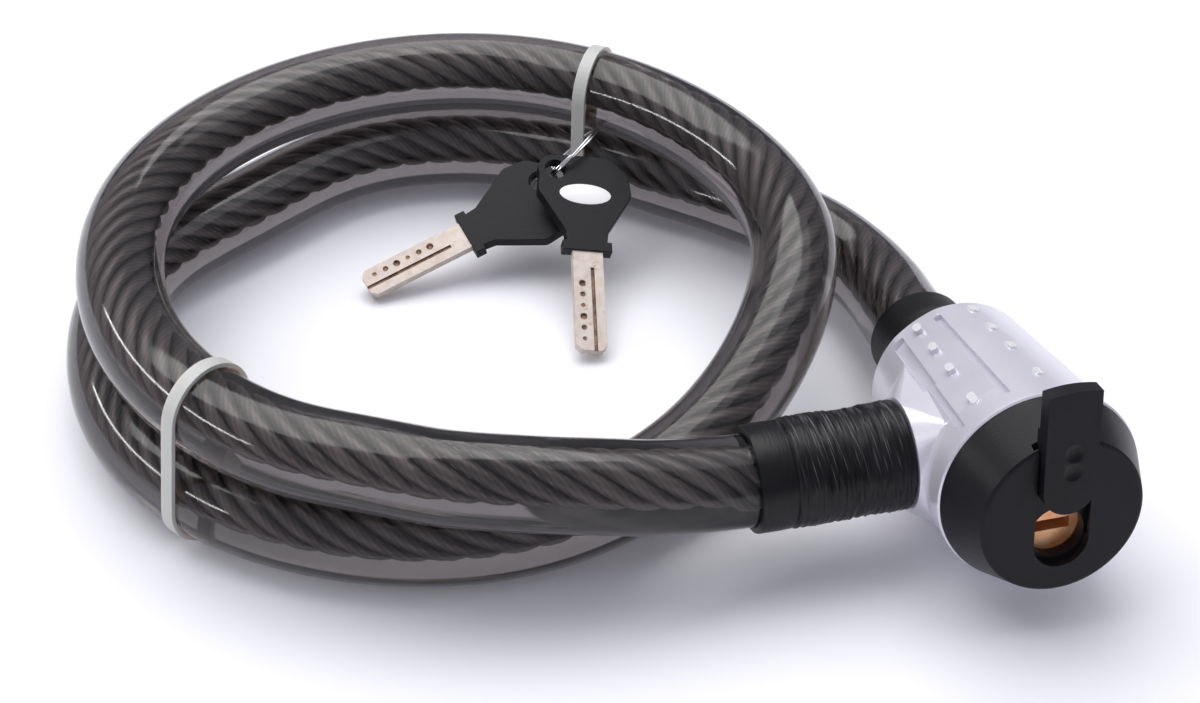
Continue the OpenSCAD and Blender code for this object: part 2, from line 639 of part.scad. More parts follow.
// ---- ties ----
// A tie in the upright plane that faces the angle given, round the upper and the lower cable's centres
module cable_tie(angle, upper, lower, head_side, head_z) {
    radial = [cos(angle), sin(angle), 0];
    around = [-sin(angle), cos(angle), 0];
    high = [upper * radial, upper[2]];
    low = [lower * radial, lower[2]];
    r = cable_d / 2 + tie_gap;
    lean = (high[0] - low[0]) / (high[1] - low[1]);
    face_x = low[0] + lean * (head_z - low[1]) + head_side * r;
    color(nylon) rotate([0, 0, angle]) translate([0, upper * around, 0]) rotate([90, 0, 0])
        translate([0, 0, -tie_w / 2]) difference() {
            union() {
                linear_extrude(tie_w) difference() {
                    hull() {
                        translate(high) circle(r = r + tie_t, $fn = 48);
                        translate(low) circle(r = r + tie_t, $fn = 48);
                    }
                    hull() {
                        translate(high) circle(r = r, $fn = 48);
                        translate(low) circle(r = r, $fn = 48);
                    }
                }
                translate([face_x + (head_side > 0 ? 0.3 : 0.7 - tie_head), head_z - tie_head / 2,
                    (tie_w - tie_head) / 2]) cube([tie_head - 1, tie_head, tie_head]);
            }
            translate([0, -5, -5]) cube([200, 5, 20]);
        }
}
tie_left_at = 217;
tie_back_at = 55;
// The tube's own centre at a place on the coil, on the straight leg between two of its rings
function tube_pt(t) =
    let (step = (coil_to - coil_from) / 44, i = floor((t - coil_from) / step), f = (t - coil_from) / step - i)
    coil_turns[i] * (1 - f) + coil_turns[i + 1] * f;
tie_back_upper = tube_pt(410);
function under(p, at) =
    // the point of the coil's straight lead-in that lies in the tie's plane
    let (around = [-sin(at), cos(at), 0])
    coil_in + coil_in_dir * ((p - coil_in) * around) / (coil_in_dir * around);
tie_back_lower = under(tie_back_upper, tie_back_at);

module tie_left() {
    cable_tie(tie_left_at, tube_pt(tie_left_at + 360), tube_pt(tie_left_at), -1, (low_z + high_z) / 2 + 2);
}

module tie_back() {
    cable_tie(tie_back_at, tie_back_upper, tie_back_lower, 1, (low_z + high_z) / 2 - 2);
}

// ---- keys ----
// Where the ring and the keys come to rest
ring_centre = [42.02, 47.23, 24.42];
ring_turn = [0, 49.4, 139.44];
key_a_eyelet = -8;
key_b_eyelet = -4.43;
module key_ring() {
    color(steel) translate(ring_centre) rotate(ring_turn)
        rotate_extrude($fn = 72) translate([ring_d / 2, 0]) circle(d = ring_wire, $fn = 20);
}

module in_key_a() {
    translate([44.92, 41.74, 26.58]) rotate([0, 0, -11.55]) rotate([22.89, 0, 0]) rotate([0, 11.62, 0]) children();
}

module in_key_b() {
    translate([39.04, 40.03, 19.38]) rotate([0, 0, -79.65]) rotate([15.36, 0, 0]) rotate([0, 22.01, 0]) children();
}

module key_bow(eyelet_x) {
    // bow outline from its top, at the origin, down to the shank
    neck_w = 11;
    difference() {
        translate([0, 0, -bow_t / 2]) linear_extrude(bow_t) difference() {
            union() {
                offset(2.5) polygon([[-6, -2.5], [6, -2.5], [bow_w / 2 - 3, -6.5], [bow_w / 2 - 2.5, -11.5],
                    [neck_w / 2 - 2, -23.5], [neck_w / 2 - 2.5, -bow_len + 2.5], [2.5 - neck_w / 2, -bow_len + 2.5],
                    [2 - neck_w / 2, -23.5], [2.5 - bow_w / 2, -11.5], [3 - bow_w / 2, -6.5]]);
                translate([-neck_w / 2 - 1.3, -bow_len]) square([neck_w + 2.6, 3]);
                translate([eyelet_x, -eyelet_down]) circle(d = eyelet_d + 3.8);
            }
            translate([eyelet_x, -eyelet_down]) circle(d = eyelet_d);
        }
        translate([-blade_w / 2 - 0.05, -bow_len - 1, -blade_t / 2 - 0.05]) cube([blade_w + 0.1, 11, blade_t + 0.1]);
    }
}

module blade_blank() {
    tip_y = -bow_len - blade_len;
    difference() {
        translate([0, 0, -blade_t / 2]) linear_extrude(blade_t) polygon([[-blade_w / 2, -bow_len + 9.9],
            [-blade_w / 2, tip_y + 1.5], [-blade_w / 2 + 1.5, tip_y], [blade_w / 2 - 1.5, tip_y],
            [blade_w / 2, tip_y + 1.5], [blade_w / 2, -bow_len + 9.9]]);
        for (s = [0, 180]) rotate([0, s, 0]) {
            // long milled channel and the row of dimples
            translate([0.6, tip_y - 1, blade_t / 2 - 0.5]) cube([1, blade_len - 4, 2]);
            for (i = [0 : 5]) translate([-1.8, tip_y + 3.4 + i * 3.4, blade_t / 2 - (i % 3 + 1) * 0.22])
                cylinder(r1 = 0.5, r2 = 1.3, h = 1, $fn = 24);
        }
    }
}

module key_a_bow() {
    color(black) in_key_a() key_bow(key_a_eyelet);
}

module key_a_blade() {
    color(nickel) in_key_a() blade_blank();
}

module key_b_bow() {
    color(black) in_key_b() key_bow(key_b_eyelet);
}

module key_b_blade() {
    color(nickel) in_key_b() blade_blank();
}

housing();
end_cap();
shutter();
shutter_spring();
cylinder_body();
key_core();
core_clip();
driver_pins();
cylinder_pin();
lock_bolt();
socket_bush();
rear_ferrule();
anchor_pin();
rear_boot();
rope_rear();
rope_coil();
rope_front();
sheath_rear();
sheath_coil();
sheath_front();
plug_pin();
plug_ferrule();
plug_sleeve();
tie_left();
tie_back();
key_ring();
key_a_bow();
key_a_blade();
key_b_bow();
key_b_blade();
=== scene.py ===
import math

import bmesh
import bpy
from mathutils import Matrix, Vector, noise


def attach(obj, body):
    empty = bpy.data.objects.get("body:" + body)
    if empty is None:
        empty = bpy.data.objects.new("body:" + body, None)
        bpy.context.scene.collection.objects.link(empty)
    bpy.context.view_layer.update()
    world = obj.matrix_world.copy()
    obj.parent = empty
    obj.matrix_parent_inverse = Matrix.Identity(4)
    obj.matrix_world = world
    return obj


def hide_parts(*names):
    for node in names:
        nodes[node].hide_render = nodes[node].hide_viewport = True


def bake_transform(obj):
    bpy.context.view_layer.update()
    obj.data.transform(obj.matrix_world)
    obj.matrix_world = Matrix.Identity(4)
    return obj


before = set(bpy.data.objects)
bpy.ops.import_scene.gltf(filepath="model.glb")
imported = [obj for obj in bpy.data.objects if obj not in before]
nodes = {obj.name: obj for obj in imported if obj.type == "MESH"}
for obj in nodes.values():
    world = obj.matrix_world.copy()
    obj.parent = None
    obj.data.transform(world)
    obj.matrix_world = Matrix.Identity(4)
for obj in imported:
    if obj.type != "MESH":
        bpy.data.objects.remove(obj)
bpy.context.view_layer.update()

# Camera.
# It looks down on the coil from the front, a little to the left, with a fairly
# long lens.
LOOK_AT = Vector((0.0304, -0.0352, 0.0203))
LOOK_ALONG = Vector((0.1946, 0.7636, -0.6157)).normalized()
CAMERA_AWAY = 0.56
camera_data = bpy.data.cameras.new("camera")
camera_data.sensor_width = 36
camera_data.lens = 67.05
camera_data.clip_start = 0.01
camera = bpy.data.objects.new("camera", camera_data)
bpy.context.scene.collection.objects.link(camera)
camera.location = LOOK_AT - CAMERA_AWAY * LOOK_ALONG
camera.rotation_euler = LOOK_ALONG.to_track_quat("-Z", "Y").to_euler()
bpy.context.scene.camera = camera

# Cable: clear sheath, rear stretch and coil.
# Smoky flexible tube extruded over a steel rope. It leaves the boot behind the
# barrel, makes two turns and carries on as the front stretch.
PITCH = math.radians(9.4)
BARREL_AFT = 0.030
REAR_R = 0.0208
FLOOR_GAP = 0.00005
HEAD = Vector((0.1116, -0.0964,
               REAR_R * math.cos(PITCH) + BARREL_AFT * math.sin(PITCH) + FLOOR_GAP))
CABLE_D = 0.022
FORWARD = Vector((1, 0, 0))


def barrel_point(x, y, z):
    """A point of the barrel's own frame, tipped up by PITCH, with Z forward along its axis."""
    return HEAD + Vector((x, y * math.sin(PITCH) - z * math.cos(PITCH),
                          y * math.cos(PITCH) + z * math.sin(PITCH)))


def mm(*point):
    """A point given in millimetres."""
    return Vector(point) / 1000


def ease(x):
    """A soft step from 0 to 1."""
    x = min(max(x, 0), 1)
    return x * x * (3 - 2 * x)


# The coil's centre line, in degrees and millimetres: a low turn, a rise, and a
# high turn. Each swing is the angle where the line leaves its circle, how wide
# that bulge is, and how far it goes out.
LOW_Z, HIGH_Z = 0.0120, 0.0348
COIL_FROM, COIL_TO = 60.0, 600.0
RISE_FROM, RISE_OVER = 292, 58
COIL_R, HIGH_TURN_WIDER = 84, 1
LOW_TURN_X, LOW_TURN_Y = -3, -2
SWINGS = ((123, 21, -6.3), (156, 20, 2), (200, 30, 2.5), (294, 16, -2),
          (340, 28, 3), (388, 30, -1.5), (540, 30, -1.6), (600, 26, 2.2))


def coil_point(t):
    """The middle of the cable at t degrees round the coil."""
    s = ease((t - RISE_FROM) / RISE_OVER)
    a = math.radians(t)
    bulge = sum(h * math.exp(-((t - at) / wide) ** 2) for at, wide, h in SWINGS)
    r = COIL_R + HIGH_TURN_WIDER * s + bulge
    return Vector(((LOW_TURN_X * (1 - s) + r * math.cos(a)) / 1000,
                   (LOW_TURN_Y * (1 - s) + r * math.sin(a)) / 1000,
                   LOW_Z + (HIGH_Z - LOW_Z) * s))


def smooth_line(points, start, end, steps):
    """A curve through all the points, which sets out along start and arrives along end."""
    legs = [(b - a).length for a, b in zip(points, points[1:])]
    way = [start]
    for i in range(1, len(points) - 1):
        before, after = points[i] - points[i - 1], points[i + 1] - points[i]
        way.append((after / legs[i] * legs[i - 1] + before / legs[i - 1] * legs[i]).normalized())
    way.append(end)
    line = []
    for i, leg in enumerate(legs):
        for k in range(steps):
            t = k / steps
            line.append(points[i] * (2 * t ** 3 - 3 * t * t + 1)
                        + way[i] * leg * (t ** 3 - 2 * t * t + t)
                        + points[i + 1] * (3 * t * t - 2 * t ** 3)
                        + way[i + 1] * leg * (t ** 3 - t * t))
    return line + [points[-1]]


# The whole route. The coil has a straight lead at each end, one cable thick
# long, and the line reaches from inside the boot to inside the plug's sleeve.
REAR_STEPS, LEAD_STEPS, TURN_STEPS, FRONT_STEPS = 6, 8, 300, 8
MOUTH_X, SHEATH_END_X = -0.0619, -0.0573
coil_start, coil_end = coil_point(COIL_FROM), coil_point(COIL_TO)
coil_in_way = (coil_point(COIL_FROM + 0.1) - coil_start).normalized()
coil_out_way = (coil_end - coil_point(COIL_TO - 0.1)).normalized()
coil_in = coil_start - CABLE_D * coil_in_way
coil_out = coil_end + CABLE_D * coil_out_way
back_way = (barrel_point(0, 0, -1) - barrel_point(0, 0, 0)).normalized()
rear_points = [barrel_point(0, 0, -0.036), barrel_point(0, 0, -0.050), barrel_point(0, 0, -0.064),
               mm(112, -20, 13.2), mm(110, -6, 12.2), mm(105, 8, 12), mm(96.5, 21.5, 12),
               mm(85, 35, 12), mm(72, 47.5, 12), coil_in]
rear_path = smooth_line(rear_points, back_way, coil_in_way, REAR_STEPS)
lead_in = [coil_in + (coil_start - coil_in) * k / LEAD_STEPS for k in range(1, LEAD_STEPS)]
turns = [coil_point(COIL_FROM + (COIL_TO - COIL_FROM) * k / TURN_STEPS)
         for k in range(TURN_STEPS + 1)]
lead_out = [coil_end + (coil_out - coil_end) * k / LEAD_STEPS for k in range(1, LEAD_STEPS + 1)]
main_path = rear_path + lead_in + turns + lead_out
front_points = [coil_out, mm(-2, -93.9, 33.3), mm(14, -96.4, 31.2), mm(28, -97.3, 28.6),
                mm(40, -97, 26.7), barrel_point(MOUTH_X, 0, 0), barrel_point(SHEATH_END_X, 0, 0)]
front_path = smooth_line(front_points, coil_out_way, FORWARD, FRONT_STEPS)


def ring_frames(path, start, end):
    """Each point of a path with the two directions across it, level and upward."""
    rows = []
    for i, p in enumerate(path):
        if i == 0:
            way = start
        elif i == len(path) - 1:
            way = end
        else:
            way = (path[i + 1] - path[i - 1]).normalized()
        side = way.cross(Vector((0, 0, 1))).normalized()
        rows.append((p, side, side.cross(way)))
    return rows


def lengths_along(path, start=0.0):
    """How far along the path each of its points lies."""
    along = [start]
    for a, b in zip(path, path[1:]):
        along.append(along[-1] + (b - a).length)
    return along


def swept(name, walls_at, along, sides, closed_start=False, closed_end=False):
    """A tube when walls_at has the rows and radius of two walls, a solid strand when it has one."""
    mesh = bpy.data.meshes.new(name)
    bm = bmesh.new()
    uv = bm.loops.layers.uv.new("around_along")
    around = [(k, (k + 1) % sides) for k in range(sides)]
    spokes = [(math.cos(math.tau * (k + 0.5) / sides), math.sin(math.tau * (k + 0.5) / sides))
              for k in range(sides)]
    walls = [[[bm.verts.new(p + r * (across * a + upward * b)) for across, upward in spokes]
              for p, a, b in rows] for rows, r in walls_at]
    for wall in walls:
        for i in range(len(wall) - 1):
            for k, n in around:
                ring = [wall[i][k], wall[i][n], wall[i + 1][n], wall[i + 1][k]]
                marks = [(k, i), (k + 1, i), (k + 1, i + 1), (k, i + 1)]
                if wall is walls[0]:
                    ring.reverse()
                    marks.reverse()
                face = bm.faces.new(ring)
                face.smooth = True
                for loop, (u, v) in zip(face.loops, marks):
                    loop[uv].uv = (u / sides, along[v])
    for row, wanted in ((0, closed_start), (-1, closed_end)):
        ends = [wall[row] for wall in walls] if wanted else []
        rings = []
        if len(ends) == 1:
            rings = [ends[0]]
        elif len(ends) == 2:
            rings = [[ends[0][k], ends[0][n], ends[1][n], ends[1][k]] for k, n in around]
        for ring in rings:
            bm.faces.new(ring[::-1] if row == -1 else ring)
    bm.to_mesh(mesh)
    bm.free()
    piece = bpy.data.objects.new(name, mesh)
    bpy.context.scene.collection.objects.link(piece)
    return piece


class Wave:
    """A shader socket that adds Math nodes when it is used in an expression."""

    def __init__(self, finish, socket):
        self.finish, self.socket = finish, socket

    def __add__(self, other):
        return self.finish.math("ADD", self, other)

    def __sub__(self, other):
        return self.finish.math("SUBTRACT", self, other)

    def __rsub__(self, other):
        return self.finish.math("SUBTRACT", other, self)

    def __mul__(self, other):
        return self.finish.math("MULTIPLY", self, other)

    __radd__ = __add__
    __rmul__ = __mul__


class Finish:
    """One procedural material: a Principled shader and the nodes that feed it."""

    def __init__(self, name, **constants):
        self.material = bpy.data.materials.new(name)
        self.material.use_nodes = True
        self.nodes, self.links = self.material.node_tree.nodes, self.material.node_tree.links
        self.shader = next(n for n in self.nodes if n.type == "BSDF_PRINCIPLED")
        for key, value in constants.items():
            socket = key.replace("_", " ").title().replace("Ior", "IOR")
            self.shader.inputs[socket].default_value = value

    def node(self, kind, settings, *values, out=0):
        """A new node: its settings first, then the values or links of its sockets in order."""
        made = self.nodes.new(kind)
        for key, value in settings.items():
            if key == "stops":
                ramp = made.color_ramp.elements
                while len(ramp) < len(value):
                    ramp.new(0.5)
                for stop, (at, colour) in zip(ramp, value):
                    stop.position, stop.color = at, colour
            elif key == "named":
                for socket, v in value.items():
                    self.put(v, made.inputs[socket])
            else:
                setattr(made, key, value)
        for i, value in enumerate(values):
            if value is not None:
                self.put(value, made.inputs[i])
        return Wave(self, made.outputs[out])

    def put(self, value, socket):
        if isinstance(value, Wave):
            self.links.new(value.socket, socket)
        else:
            socket.default_value = value

    def feed(self, socket, value):
        self.put(value, self.shader.inputs[socket])

    def math(self, kind, *values):
        return self.node("ShaderNodeMath", {"operation": kind}, *values)

    def mix(self, kind, factor, first, second):
        """A colour mix. The Mix node keeps its two colours behind five sockets of other types."""
        others = [None] * 5
        return self.node("ShaderNodeMix", {"data_type": "RGBA", "blend_type": kind},
                         factor, *others, first, second, out=2)

    def place(self):
        return self.node("ShaderNodeTexCoord", {}, out=3)

    def map_of(self, name):
        return self.node("ShaderNodeUVMap", {"uv_map": name})

    def parts(self, vector):
        first = self.node("ShaderNodeSeparateXYZ", {}, vector)
        return [Wave(self, socket) for socket in first.socket.node.outputs]

    def joined(self, x, y, z):
        return self.node("ShaderNodeCombineXYZ", {}, x, y, z)

    def noise(self, vector, scale, detail=3.0, rough=0.5):
        return self.node("ShaderNodeTexNoise", {"named": {
            "Vector": vector, "Scale": scale, "Detail": detail, "Roughness": rough}})

    def ramp(self, value, *stops):
        return self.node("ShaderNodeValToRGB", {"stops": stops}, value)

    def bump(self, height, strength, distance):
        self.feed("Normal", self.node("ShaderNodeBump", {"named": {
            "Strength": strength, "Distance": distance, "Height": height}}))

    def wear(self, *pieces):
        for piece in pieces:
            piece.data.materials.clear()
            piece.data.materials.append(self.material)


# The tube itself. Its bore is drawn inside the rope, so that the clear plastic
# closes on the strands and no gap shows between them.
SHEATH_SIDES = 40
BORE_R = 0.0022
smoky = Finish("smoky_clear_sheath", base_color=(0.145, 0.132, 0.134, 1),
               transmission_weight=1.0, ior=1.46, specular_ior_level=0.5)
u, v, _ = smoky.parts(smoky.map_of("around_along"))
fine = smoky.noise(smoky.place(), 140.0, 2.0)
smoky.feed("Roughness", fine * 0.05 + 0.065)
drag = smoky.noise(smoky.joined(u * 7.0, v * 14.0, 0.0), 1.0, 2.0)
smoky.bump(drag, 0.10, 0.0005)

# The cable is drawn from end to end in one set of frames, and is cut at JOIN,
# where the front stretch begins.
whole_path = main_path + front_path[1:]
whole_along = lengths_along(whole_path)
whole_rows = ring_frames(whole_path, back_way, FORWARD)
JOIN = len(main_path)
mouth_along = whole_along[-1] - (SHEATH_END_X - MOUTH_X)
ROPE_RISE = 0.0018
RISES_AFTER, RISES_OVER = 0.002, 0.022
SUNK_AT, SINKS_OVER = mouth_along + 0.003, 0.016


def rope_rise(s):
    """The rope lies high in the sheath, and runs to its middle at both ferrules."""
    return ROPE_RISE * ease((s - RISES_AFTER) / RISES_OVER) * ease((SUNK_AT - s) / SINKS_OVER)


rope_rows = [(p + rope_rise(s) * b, a, b) for (p, a, b), s in zip(whole_rows, whole_along)]
sheath = swept("sheath_coiled",
               ((whole_rows[:JOIN], CABLE_D / 2), (rope_rows[:JOIN], BORE_R)),
               whole_along[:JOIN], SHEATH_SIDES, closed_start=True)
smoky.wear(sheath)
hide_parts("sheath_rear", "sheath_coil")
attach(sheath, "lock")

# Cable: clear sheath, front stretch.
# The same tube runs on into the plug's sleeve.
sheath_end = swept("sheath_at_plug",
                   ((whole_rows[JOIN - 1:], CABLE_D / 2), (rope_rows[JOIN - 1:], BORE_R)),
                   whole_along[JOIN - 1:], SHEATH_SIDES, closed_end=True)
smoky.wear(sheath_end)
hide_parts("sheath_front")
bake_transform(sheath_end)

# Steel rope.
# Six strands laid left-handed round a core, each of fine wires, bedded in the
# sheath. One turn of the lay is about five rope diameters.
STRANDS, STRAND_SIDES = 6, 12
STRAND_R = 0.00172
STRAND_RING = 0.00335
CORE_R = STRAND_RING - STRAND_R + 0.0006
LAY = -0.048
FERRULE_POINTS = 8
ROPE_END_X, ROPE_END_STEPS = -0.0385, 6
GLINT_FROM, GLINT_TO = 0.945, 1.020
rope_steel = Finish("laid_steel_wires", metallic=0.55, ior=1.5)
u, v, _ = rope_steel.parts(rope_steel.map_of("around_along"))
wire = rope_steel.math("FRACT", u * 8.0 + v * 260.0)
ridge = 1.0 - rope_steel.math("ABSOLUTE", wire - 0.5) * 2.0
patch = rope_steel.noise(rope_steel.place(), 55.0, 3.0)
oiled = rope_steel.ramp(ridge * 0.16 + patch * 0.84, (0.30, (0.50, 0.47, 0.46, 1)),
                        (0.50, (0.74, 0.70, 0.68, 1)), (0.70, (0.96, 0.92, 0.89, 1)))
# Painted shade: each strand is painted darker on its side toward the core and the grooves between
# strands, and lighter on its outer crown.
proud = rope_steel.math("COSINE", u * math.tau) * 0.5 + 0.5
lit = rope_steel.ramp(proud, (0.50, (0.30, 0.30, 0.30, 1)), (0.88, (0.80, 0.80, 0.80, 1)),
                      (1.0, (1, 1, 1, 1)))
strand_tone_and_groove_shade = rope_steel.mix("MULTIPLY", 1.0, oiled, lit)
# Painted highlight: the crowns of the wires are painted near-white in broken streaks, along the rope from
# GLINT_FROM to GLINT_TO and in scattered patches elsewhere, standing for glints.
glint_streak = rope_steel.noise(rope_steel.joined(u * 24.0, v * 80.0, 0.0), 1.0, 1.0)
painted_glint = rope_steel.math("GREATER_THAN", ridge, 0.78) * rope_steel.math("GREATER_THAN", glint_streak, 0.58)
stretch = rope_steel.math("GREATER_THAN", v, GLINT_FROM) * rope_steel.math("LESS_THAN", v, GLINT_TO)
blotch = rope_steel.noise(rope_steel.place(), 14.0, 1.0)
elsewhere = rope_steel.math("GREATER_THAN", blotch, 0.60)
painted_glint = painted_glint * rope_steel.math("MAXIMUM", stretch, elsewhere)
rope_steel.feed("Base Color", rope_steel.mix("MIX", painted_glint * 0.8, strand_tone_and_groove_shade, (0.98, 0.88, 0.78, 1)))
rope_steel.feed("Roughness", patch * 0.25 + 0.30)
rope_steel.bump(ridge, 0.12, 0.0002)


def laid_strand(rows, along, j):
    """Strand j of the rope, as rows for swept and its radius. The last one is the core."""
    ring, r = (STRAND_RING, STRAND_R) if j < STRANDS else (0, CORE_R)
    outward = []
    for (p, a, b), s in zip(rows, along):
        turn = math.tau * (s / LAY + j / STRANDS)
        outward.append(math.cos(turn) * a + math.sin(turn) * b)
    laid = [row[0] + ring * away for row, away in zip(rows, outward)]
    last = len(laid) - 1
    ways = [(laid[min(i + 1, last)] - laid[max(i - 1, 0)]).normalized() for i in range(last + 1)]
    return [(p, away, away.cross(way)) for p, away, way in zip(laid, outward, ways)], r


def rope_stretch(name, strands, along, first, last):
    """All the strands from one row to another as one mesh, closed at the rope's own ends."""
    pieces = [swept(f"{name}_{j}", ((rows[first:last], r),), along[first:last], STRAND_SIDES,
                    closed_start=first == 0, closed_end=last == len(along))
              for j, (rows, r) in enumerate(strands)]
    bpy.ops.object.select_all(action="DESELECT")
    for piece in pieces:
        piece.select_set(True)
    bpy.context.view_layer.objects.active = pieces[0]
    bpy.ops.object.join()
    rope_steel.wear(pieces[0])
    pieces[0].name = name
    return pieces[0]


in_rear_ferrule = [barrel_point(0, 0, -0.0195 - 0.002 * k) for k in range(FERRULE_POINTS)]
in_plug_ferrule = [barrel_point(SHEATH_END_X + (ROPE_END_X - SHEATH_END_X) * k / ROPE_END_STEPS, 0, 0)
                   for k in range(1, ROPE_END_STEPS + 1)]
rope_line = in_rear_ferrule + [p for p, a, b in rope_rows] + in_plug_ferrule
rope_along = lengths_along(rope_line, -(rope_line[FERRULE_POINTS] - rope_line[0]).length)
rope_frames = ring_frames(rope_line, back_way, FORWARD)
strands = [laid_strand(rope_frames, rope_along, j) for j in range(STRANDS + 1)]
cut = JOIN + FERRULE_POINTS
steel_rope = rope_stretch("rope_coiled", strands, rope_along, 0, cut)
steel_rope_end = rope_stretch("rope_at_plug", strands, rope_along, cut - 1, len(rope_line))
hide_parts("rope_rear", "rope_coil")
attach(steel_rope, "lock")
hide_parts("rope_front")
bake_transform(steel_rope_end)

# Ties.
# Two natural nylon straps hold the turns together, each pulled tight through
# its square head and cut short.
nylon = Finish("natural_nylon", base_color=(0.60, 0.565, 0.53, 1), subsurface_weight=0.15,
               roughness=0.42, ior=1.5)
nylon.bump(nylon.noise(nylon.place(), 900.0, 2.0), 0.15, 0.0002)
nylon.wear(nodes["tie_left"], nodes["tie_back"])

# Floor and light.
# A flat pale floor, three soft lamps overhead and to the sides, and a sky that
# is brighter toward its top.
FLOOR_SIZE, FLOOR_Z = 12, -0.0002
bpy.ops.mesh.primitive_plane_add(size=FLOOR_SIZE, location=(0, 0, FLOOR_Z))
floor = bpy.context.object
floor.name = "floor"
pale = Finish("pale_floor", roughness=0.9, specular_ior_level=0.1)
speck = pale.noise(pale.place(), 3.0, 2.0)
pale.feed("Base Color", pale.ramp(speck, (0.0, (0.90, 0.90, 0.95, 1)), (1.0, (0.93, 0.93, 0.97, 1))))
ray_kinds = pale.node("ShaderNodeLightPath", {}).socket.node.outputs
seen = [Wave(pale, ray_kinds[kind]) for kind in ("Is Camera Ray", "Is Glossy Ray", "Is Transmission Ray")]
pale.feed("Emission Color", pale.mix("MIX", seen[0] + seen[1] + seen[2], (0, 0, 0, 1),
                                     (0.05, 0.05, 0.056, 1)))
pale.feed("Emission Strength", 1.0)
pale.wear(floor)


def soft_lamp(name, at, size, power, colour, target=(0, 0, 0)):
    """A rectangular lamp turned toward its target."""
    lamp = bpy.data.lights.new(name, "AREA")
    lamp.shape = "RECTANGLE"
    lamp.size, lamp.size_y = size
    lamp.energy, lamp.color = power, colour
    holder = bpy.data.objects.new(name, lamp)
    bpy.context.scene.collection.objects.link(holder)
    holder.location = at
    holder.rotation_euler = (Vector(target) - Vector(at)).to_track_quat("-Z", "Y").to_euler()


soft_lamp("top_lamp", (-0.20, 0.62, 1.55), (2.0, 1.4), 25.0, (1, 0.99, 0.97))
soft_lamp("left_strip", (-1.0, 0.2, 0.47), (1.3, 0.05), 3.5, (1, 0.99, 0.97), (-0.08, 0.0, 0.03))
soft_lamp("right_lamp", (0.52, 0.14, 1.1), (0.9, 0.9), 2.4, (0.98, 0.98, 1))
world = bpy.data.worlds.new("studio")
bpy.context.scene.world = world
world.use_nodes = True
sky, sky_links = world.node_tree.nodes, world.node_tree.links
toward = sky.new("ShaderNodeTexCoord")
height = sky.new("ShaderNodeSeparateXYZ")
shade = sky.new("ShaderNodeValToRGB")
low_sky, high_sky = shade.color_ramp.elements
low_sky.position, low_sky.color = 0.05, (0.40, 0.41, 0.48, 1)
high_sky.position, high_sky.color = 0.75, (0.90, 0.91, 1.0, 1)
sky_links.new(toward.outputs["Generated"], height.inputs[0])
sky_links.new(height.outputs[2], shade.inputs[0])
sky_links.new(shade.outputs[0], sky["Background"].inputs[0])
sky["Background"].inputs[1].default_value = 0.50
bpy.context.scene.view_settings.view_transform = "Standard"

# Barrel.
# Zinc casting with satin silver paint. Two grooves and rows of raised dots give
# it grip, and the boss on its left takes the plug.
silver = Finish("silver_paint", metallic=0.5, ior=1.5, coat_weight=0.2, coat_roughness=0.12)
grain = silver.noise(silver.place(), 2600.0, 2.0)
cloud = silver.noise(silver.place(), 40.0, 3.0)
silver.feed("Base Color", silver.ramp(grain * 0.4 + cloud * 0.6, (0.3, (0.70, 0.685, 0.765, 1)),
                                     (0.7, (0.79, 0.77, 0.85, 1))))
silver.feed("Roughness", cloud * 0.12 + 0.27)
silver.bump(grain, 0.12, 0.0002)

MERGE, FLAT_ENOUGH, SMOOTH_TO = 0.000004, math.radians(0.7), math.radians(35)


def eased_copy(node, name, round_edge, body, sharp=32, segments=2, dissolve=True):
    """A CAD node's mesh merged, with its sharp edges rounded off, in the node's place."""
    bpy.ops.object.select_all(action="DESELECT")
    piece = nodes[node].copy()
    piece.data = nodes[node].data.copy()
    piece.name = name
    for key in list(piece.keys()):
        if key.startswith("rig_"):
            del piece[key]
    piece.parent = None
    bpy.context.scene.collection.objects.link(piece)
    bpy.context.view_layer.objects.active = piece
    piece.select_set(True)
    bpy.ops.object.mode_set(mode="EDIT")
    bpy.ops.mesh.select_all(action="SELECT")
    bpy.ops.mesh.remove_doubles(threshold=MERGE)
    if dissolve:
        bpy.ops.mesh.dissolve_limited(angle_limit=FLAT_ENOUGH)
    bpy.ops.object.mode_set(mode="OBJECT")
    bpy.ops.object.shade_smooth()
    edge = piece.modifiers.new("eased_edges", "BEVEL")
    edge.width, edge.segments = round_edge, segments
    edge.limit_method, edge.angle_limit = "ANGLE", math.radians(sharp)
    edge.use_clamp_overlap, edge.harden_normals = True, False
    bpy.ops.object.modifier_apply(modifier="eased_edges")
    bpy.ops.object.shade_smooth_by_angle(angle=SMOOTH_TO)
    even = piece.modifiers.new("even_shading", "WEIGHTED_NORMAL")
    even.mode, even.weight, even.keep_sharp = "FACE_AREA", 80, True
    bpy.ops.object.modifier_apply(modifier="even_shading")
    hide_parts(node)
    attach(piece, body)
    return piece


barrel = eased_copy("housing", "barrel", 0.00025, "lock")
silver.wear(barrel)
# Painted highlight: a near-white finish for the dots on the barrel's top, standing for their glints.
dot_glint = Finish("painted_glint_dots", metallic=0.4, ior=1.5)
glint_mottle = dot_glint.noise(dot_glint.place(), 900.0, 2.0)
dot_glint.feed("Base Color", dot_glint.ramp(glint_mottle, (0.3, (0.88, 0.88, 0.91, 1)), (0.7, (0.97, 0.97, 0.99, 1))))
dot_glint.feed("Roughness", dot_glint.noise(dot_glint.place(), 500.0, 2.0) * 0.1 + 0.22)
barrel.data.materials.append(dot_glint.material)
